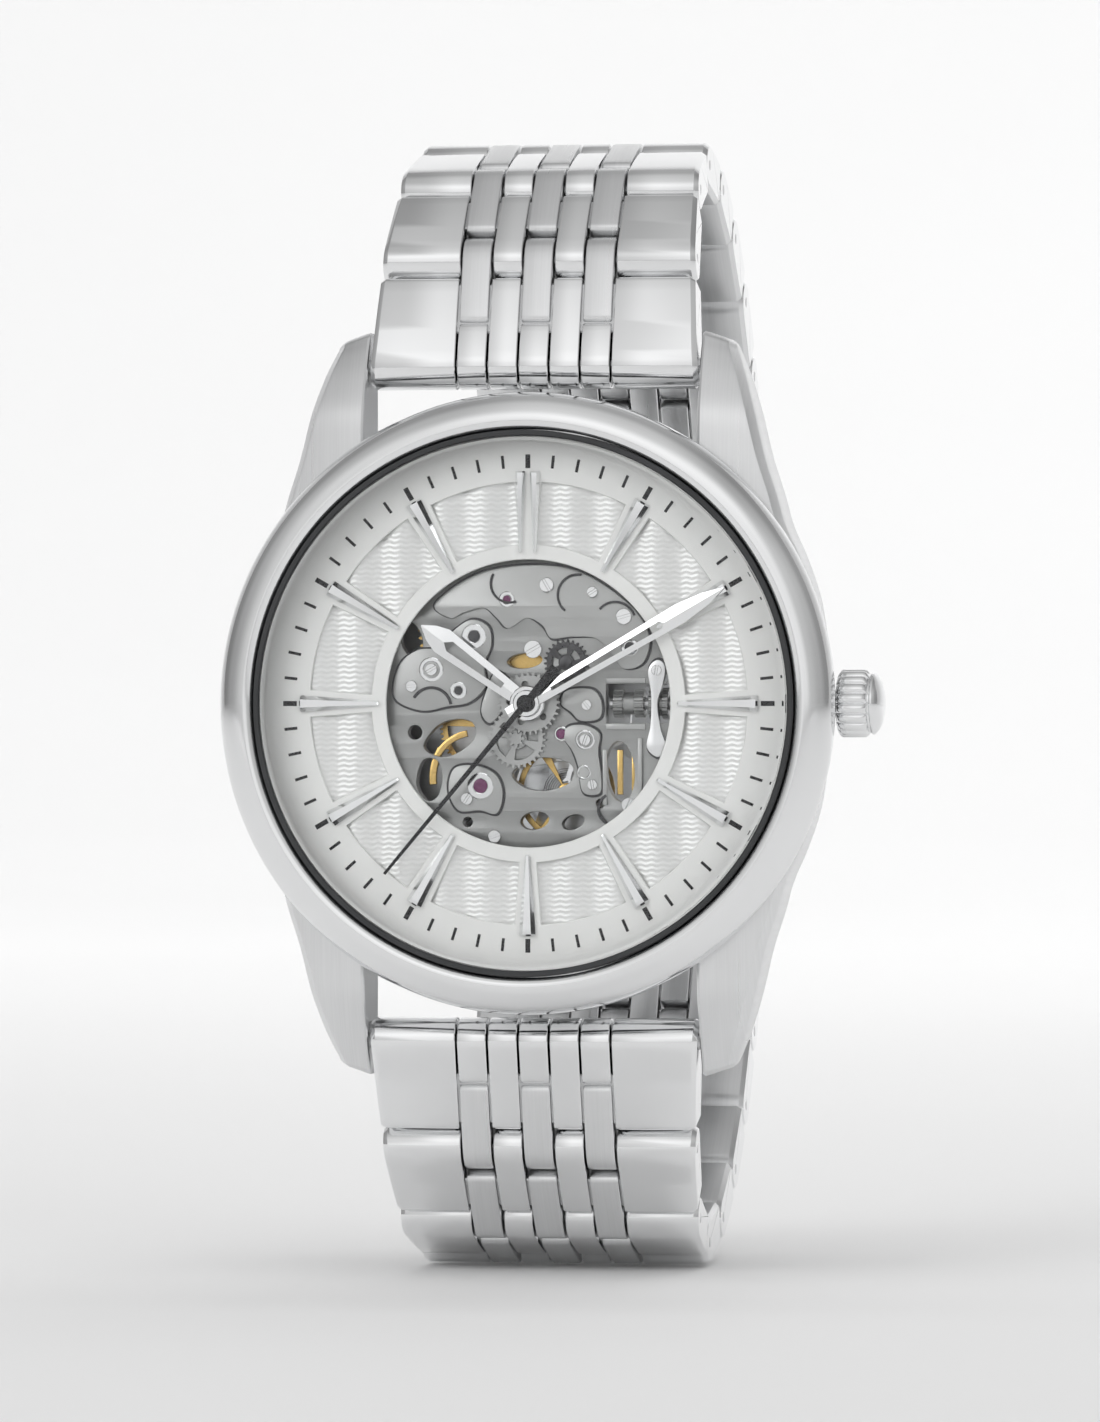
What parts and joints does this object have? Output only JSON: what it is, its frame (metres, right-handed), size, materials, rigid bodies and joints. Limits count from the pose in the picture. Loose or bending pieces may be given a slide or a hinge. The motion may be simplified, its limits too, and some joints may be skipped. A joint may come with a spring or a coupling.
{
  "type": "skeleton wristwatch",
  "caption": "Round skeleton wristwatch with open dial centre, applied bar markers, fluted crown and a seven-column link bracelet with folding clasp.",
  "frame": {"origin": "centre of the case-back glass on its outer flat face", "axes": "+X towards the crown at three o clock, +Z towards twelve o clock, +Y out of the case back towards the wrist; the dial faces -Y"},
  "size_m": [0.0462, 0.0465, 0.0792],
  "materials": {
    "polished_steel": "mirror-polished stainless steel",
    "satin_steel": "brushed stainless steel",
    "sapphire": "clear flat glass",
    "black_gasket": "black gasket",
    "silver_dial": "silver-white lacquer over guilloche",
    "black_lacquer": "black lacquer",
    "gilt_brass": "gilt brass",
    "grey_plate": "grey satin plating"
  },
  "bodies": {
    "case": {"case_middle": "polished_steel", "bezel": "polished_steel", "crystal": "sapphire", "crystal_gasket": "black_gasket", "rehaut_ring": "black_lacquer", "case_back": "satin_steel", "case_back_glass": "sapphire", "crown_tube": "polished_steel", "movement_holder": "grey_plate", "dial_plate": "silver_dial", "dial_frame": "silver_dial", "mainplate": "grey_plate", "barrel_bridge": "satin_steel", "train_bridge": "satin_steel", "balance_cock": "satin_steel", "upper_spring_bar": "satin_steel", "lower_spring_bar": "satin_steel"},
    "seconds_train": {"seconds_hand": "black_lacquer", "fourth_wheel": "gilt_brass"},
    "minutes_train": {"minute_hand": "polished_steel", "cannon_pinion": "satin_steel", "centre_wheel": "gilt_brass"},
    "hours_train": {"hour_hand": "polished_steel", "hour_wheel": "gilt_brass"},
    "third_wheel": {"third_wheel": "gilt_brass"},
    "escape_wheel": {"escape_wheel": "satin_steel"},
    "barrel": {"barrel": "gilt_brass"},
    "minute_wheel": {"minute_wheel": "gilt_brass"},
    "balance": {"balance_wheel": "gilt_brass", "hairspring": "black_lacquer"},
    "pallet_fork": {"pallet_fork": "satin_steel"},
    "rotor": {"rotor": "satin_steel"},
    "crown_wheel": {"crown_wheel": "polished_steel"},
    "ratchet_wheel": {"ratchet_wheel": "polished_steel"},
    "click": {"click": "polished_steel"},
    "winding_pinion": {"winding_pinion": "satin_steel"},
    "crown_stem": {"crown": "polished_steel", "winding_stem": "satin_steel"},
    "sliding_pinion": {"sliding_pinion": "satin_steel"},
    "upper_row_1": {"upper_row_1": "polished_steel"},
    "upper_row_2": {"upper_row_2": "polished_steel"},
    "upper_row_3": {"upper_row_3": "polished_steel"},
    "upper_row_4": {"upper_row_4": "polished_steel"},
    "upper_row_5": {"upper_row_5": "polished_steel"},
    "upper_row_6": {"upper_row_6": "polished_steel"},
    "upper_row_7": {"upper_row_7": "polished_steel"},
    "upper_row_8": {"upper_row_8": "polished_steel"},
    "lower_row_1": {"lower_row_1": "polished_steel"},
    "lower_row_2": {"lower_row_2": "polished_steel"},
    "lower_row_3": {"lower_row_3": "polished_steel"},
    "lower_row_4": {"lower_row_4": "polished_steel"},
    "lower_row_5": {"lower_row_5": "polished_steel"},
    "lower_row_6": {"lower_row_6": "polished_steel"},
    "lower_row_7": {"lower_row_7": "polished_steel"},
    "lower_row_8": {"lower_row_8": "polished_steel"},
    "clasp_cover": {"clasp_cover": "polished_steel"},
    "clasp_blade_a": {"clasp_blade_a": "satin_steel"},
    "clasp_blade_b": {"clasp_blade_b": "satin_steel"},
    "push_button_left": {"push_button_left": "polished_steel"},
    "push_button_right": {"push_button_right": "polished_steel"}
  },
  "joints": [
    {"name": "seconds_turn", "type": "hinge", "parent": "case", "child": "seconds_train", "pos_m": [0, -0.006, 0], "axis": [0, 1, 0], "continuous": true},
    {"name": "minutes_turn", "type": "hinge", "parent": "case", "child": "minutes_train", "pos_m": [0, -0.006, 0], "axis": [0, 1, 0], "continuous": true},
    {"name": "hours_turn", "type": "hinge", "parent": "case", "child": "hours_train", "pos_m": [0, -0.0075, 0], "axis": [0, 1, 0], "continuous": true},
    {"name": "third_wheel_turn", "type": "hinge", "parent": "case", "child": "third_wheel", "pos_m": [-0.0034, -0.0045, -0.00166], "axis": [0, 1, 0], "continuous": true},
    {"name": "escape_wheel_turn", "type": "hinge", "parent": "case", "child": "escape_wheel", "pos_m": [0.00345, -0.0045, -0.00158], "axis": [0, 1, 0], "continuous": true},
    {"name": "barrel_turn", "type": "hinge", "parent": "case", "child": "barrel", "pos_m": [-0.00302, -0.0045, 0.00513], "axis": [0, 1, 0], "continuous": true},
    {"name": "minute_wheel_turn", "type": "hinge", "parent": "case", "child": "minute_wheel", "pos_m": [-0.00089, -0.007, -0.00244], "axis": [0, 1, 0], "continuous": true},
    {"name": "balance_swing", "type": "hinge", "parent": "case", "child": "balance", "pos_m": [0.0021, -0.0045, -0.0061], "axis": [0, 1, 0], "range_deg": [-150, 150]},
    {"name": "pallet_fork_swing", "type": "hinge", "parent": "case", "child": "pallet_fork", "pos_m": [0.00279, -0.005, -0.00378], "axis": [0, 1, 0], "range_deg": [-5.5, 5.5]},
    {"name": "rotor_turn", "type": "hinge", "parent": "case", "child": "rotor", "pos_m": [0, -0.0016, 0], "axis": [0, 1, 0], "continuous": true},
    {"name": "crown_turn", "type": "hinge", "parent": "case", "child": "winding_pinion", "pos_m": [0.0089, -0.0056, 0], "axis": [1, 0, 0], "continuous": true},
    {"name": "crown_pull", "type": "slide", "parent": "winding_pinion", "child": "crown_stem", "axis": [1, 0, 0], "range_m": [0, 0.001]},
    {"name": "clutch_slide", "type": "slide", "parent": "winding_pinion", "child": "sliding_pinion", "axis": [-1, 0, 0], "range_m": [0, 0.00025]},
    {"name": "crown_wheel_turn", "type": "hinge", "parent": "case", "child": "crown_wheel", "pos_m": [0.00451, -0.0025, 0.00268], "axis": [0, 1, 0], "continuous": true},
    {"name": "ratchet_turn", "type": "hinge", "parent": "case", "child": "ratchet_wheel", "pos_m": [-0.00302, -0.0025, 0.00513], "axis": [0, 1, 0], "continuous": true},
    {"name": "click_swing", "type": "hinge", "parent": "case", "child": "click", "pos_m": [-0.0089, -0.0025, 0.0081], "axis": [0, 1, 0], "range_deg": [-4, 8]},
    {"name": "upper_strap_swing", "type": "hinge", "parent": "case", "child": "upper_row_1", "pos_m": [0, -0.0043, 0.0234], "axis": [1, 0, 0], "range_deg": [0, 17]},
    {"name": "upper_row_2_fold", "type": "hinge", "parent": "upper_row_1", "child": "upper_row_2", "pos_m": [0, -0.00202, 0.03086], "axis": [1, 0, 0], "range_deg": [0, 24]},
    {"name": "upper_row_3_fold", "type": "hinge", "parent": "upper_row_2", "child": "upper_row_3", "pos_m": [0, 0.00241, 0.03595], "axis": [1, 0, 0], "range_deg": [0, 31]},
    {"name": "upper_row_4_fold", "type": "hinge", "parent": "upper_row_3", "child": "upper_row_4", "pos_m": [0, 0.00883, 0.03804], "axis": [1, 0, 0], "range_deg": [0, 30]},
    {"name": "upper_row_5_fold", "type": "hinge", "parent": "upper_row_4", "child": "upper_row_5", "pos_m": [0, 0.01543, 0.03664], "axis": [1, 0, 0], "range_deg": [0, 16]},
    {"name": "upper_row_6_fold", "type": "hinge", "parent": "upper_row_5", "child": "upper_row_6", "pos_m": [0, 0.02139, 0.03347], "axis": [1, 0, 0], "range_deg": [0, 12]},
    {"name": "upper_row_7_fold", "type": "hinge", "parent": "upper_row_6", "child": "upper_row_7", "pos_m": [0, 0.02656, 0.02913], "axis": [1, 0, 0], "range_deg": [0, 11]},
    {"name": "upper_row_8_fold", "type": "hinge", "parent": "upper_row_7", "child": "upper_row_8", "pos_m": [0, 0.03081, 0.02388], "axis": [1, 0, 0], "range_deg": [0, 11]},
    {"name": "clasp_open", "type": "hinge", "parent": "case", "child": "lower_row_1", "pos_m": [0, -0.0043, -0.0234], "axis": [-1, 0, 0], "range_deg": [0, 17]},
    {"name": "lower_row_2_fold", "type": "hinge", "parent": "lower_row_1", "child": "lower_row_2", "pos_m": [0, -0.00202, -0.03086], "axis": [-1, 0, 0], "range_deg": [0, 24]},
    {"name": "lower_row_3_fold", "type": "hinge", "parent": "lower_row_2", "child": "lower_row_3", "pos_m": [0, 0.00241, -0.03595], "axis": [-1, 0, 0], "range_deg": [0, 31]},
    {"name": "lower_row_4_fold", "type": "hinge", "parent": "lower_row_3", "child": "lower_row_4", "pos_m": [0, 0.00883, -0.03804], "axis": [-1, 0, 0], "range_deg": [0, 30]},
    {"name": "lower_row_5_fold", "type": "hinge", "parent": "lower_row_4", "child": "lower_row_5", "pos_m": [0, 0.01543, -0.03664], "axis": [-1, 0, 0], "range_deg": [0, 16]},
    {"name": "lower_row_6_fold", "type": "hinge", "parent": "lower_row_5", "child": "lower_row_6", "pos_m": [0, 0.02139, -0.03347], "axis": [-1, 0, 0], "range_deg": [0, 12]},
    {"name": "lower_row_7_fold", "type": "hinge", "parent": "lower_row_6", "child": "lower_row_7", "pos_m": [0, 0.02656, -0.02913], "axis": [-1, 0, 0], "range_deg": [0, 11]},
    {"name": "lower_row_8_fold", "type": "hinge", "parent": "lower_row_7", "child": "lower_row_8", "pos_m": [0, 0.03081, -0.02388], "axis": [-1, 0, 0], "range_deg": [0, 11]},
    {"name": "clasp_cover_fold", "type": "hinge", "parent": "lower_row_8", "child": "clasp_cover", "pos_m": [0, 0.03398, -0.01792], "axis": [-1, 0, 0], "range_deg": [0, 28]},
    {"name": "clasp_blade_a_fold", "type": "hinge", "parent": "clasp_cover", "child": "clasp_blade_a", "pos_m": [0, 0.03398, 0.01432], "axis": [1, 0, 0], "range_deg": [-95, 0]},
    {"name": "clasp_blade_b_fold", "type": "hinge", "parent": "clasp_blade_a", "child": "clasp_blade_b", "pos_m": [0, 0.0336, -0.01272], "axis": [1, 0, 0], "range_deg": [0, 150]},
    {"name": "push_button_left_press", "type": "slide", "parent": "clasp_cover", "child": "push_button_left", "axis": [1, 0, 0], "range_m": [0, 0.0005], "stiffness_N_per_m": 200},
    {"name": "push_button_right_press", "type": "slide", "parent": "clasp_cover", "child": "push_button_right", "axis": [-1, 0, 0], "range_m": [0, 0.0005], "stiffness_N_per_m": 200}
  ],
  "couplings": [
    {"joint": "minutes_turn", "follows": "seconds_turn", "ratio": 0.016667},
    {"joint": "hours_turn", "follows": "seconds_turn", "ratio": 0.0013889},
    {"joint": "third_wheel_turn", "follows": "seconds_turn", "ratio": -0.13333},
    {"joint": "escape_wheel_turn", "follows": "seconds_turn", "ratio": -10},
    {"joint": "barrel_turn", "follows": "seconds_turn", "ratio": -0.0027778},
    {"joint": "minute_wheel_turn", "follows": "seconds_turn", "ratio": -0.0055556},
    {"joint": "pallet_fork_swing", "follows": "balance_swing", "ratio": -0.033333},
    {"joint": "clutch_slide", "follows": "crown_pull", "ratio": 0.25},
    {"joint": "crown_wheel_turn", "follows": "crown_turn", "ratio": -0.375},
    {"joint": "ratchet_turn", "follows": "crown_turn", "ratio": 0.3},
    {"joint": "upper_row_2_fold", "follows": "upper_strap_swing", "ratio": 1.4118},
    {"joint": "upper_row_3_fold", "follows": "upper_strap_swing", "ratio": 1.8235},
    {"joint": "upper_row_4_fold", "follows": "upper_strap_swing", "ratio": 1.7647},
    {"joint": "upper_row_5_fold", "follows": "upper_strap_swing", "ratio": 0.94118},
    {"joint": "upper_row_6_fold", "follows": "upper_strap_swing", "ratio": 0.70588},
    {"joint": "upper_row_7_fold", "follows": "upper_strap_swing", "ratio": 0.64706},
    {"joint": "upper_row_8_fold", "follows": "upper_strap_swing", "ratio": 0.64706},
    {"joint": "lower_row_2_fold", "follows": "clasp_open", "ratio": 1.4118},
    {"joint": "lower_row_3_fold", "follows": "clasp_open", "ratio": 1.8235},
    {"joint": "lower_row_4_fold", "follows": "clasp_open", "ratio": 1.7647},
    {"joint": "lower_row_5_fold", "follows": "clasp_open", "ratio": 0.94118},
    {"joint": "lower_row_6_fold", "follows": "clasp_open", "ratio": 0.70588},
    {"joint": "lower_row_7_fold", "follows": "clasp_open", "ratio": 0.64706},
    {"joint": "lower_row_8_fold", "follows": "clasp_open", "ratio": 0.64706},
    {"joint": "clasp_cover_fold", "follows": "clasp_open", "ratio": 1.6471},
    {"joint": "clasp_blade_a_fold", "follows": "clasp_open", "ratio": -5.5882},
    {"joint": "clasp_blade_b_fold", "follows": "clasp_open", "ratio": 8.8235}
  ]
}
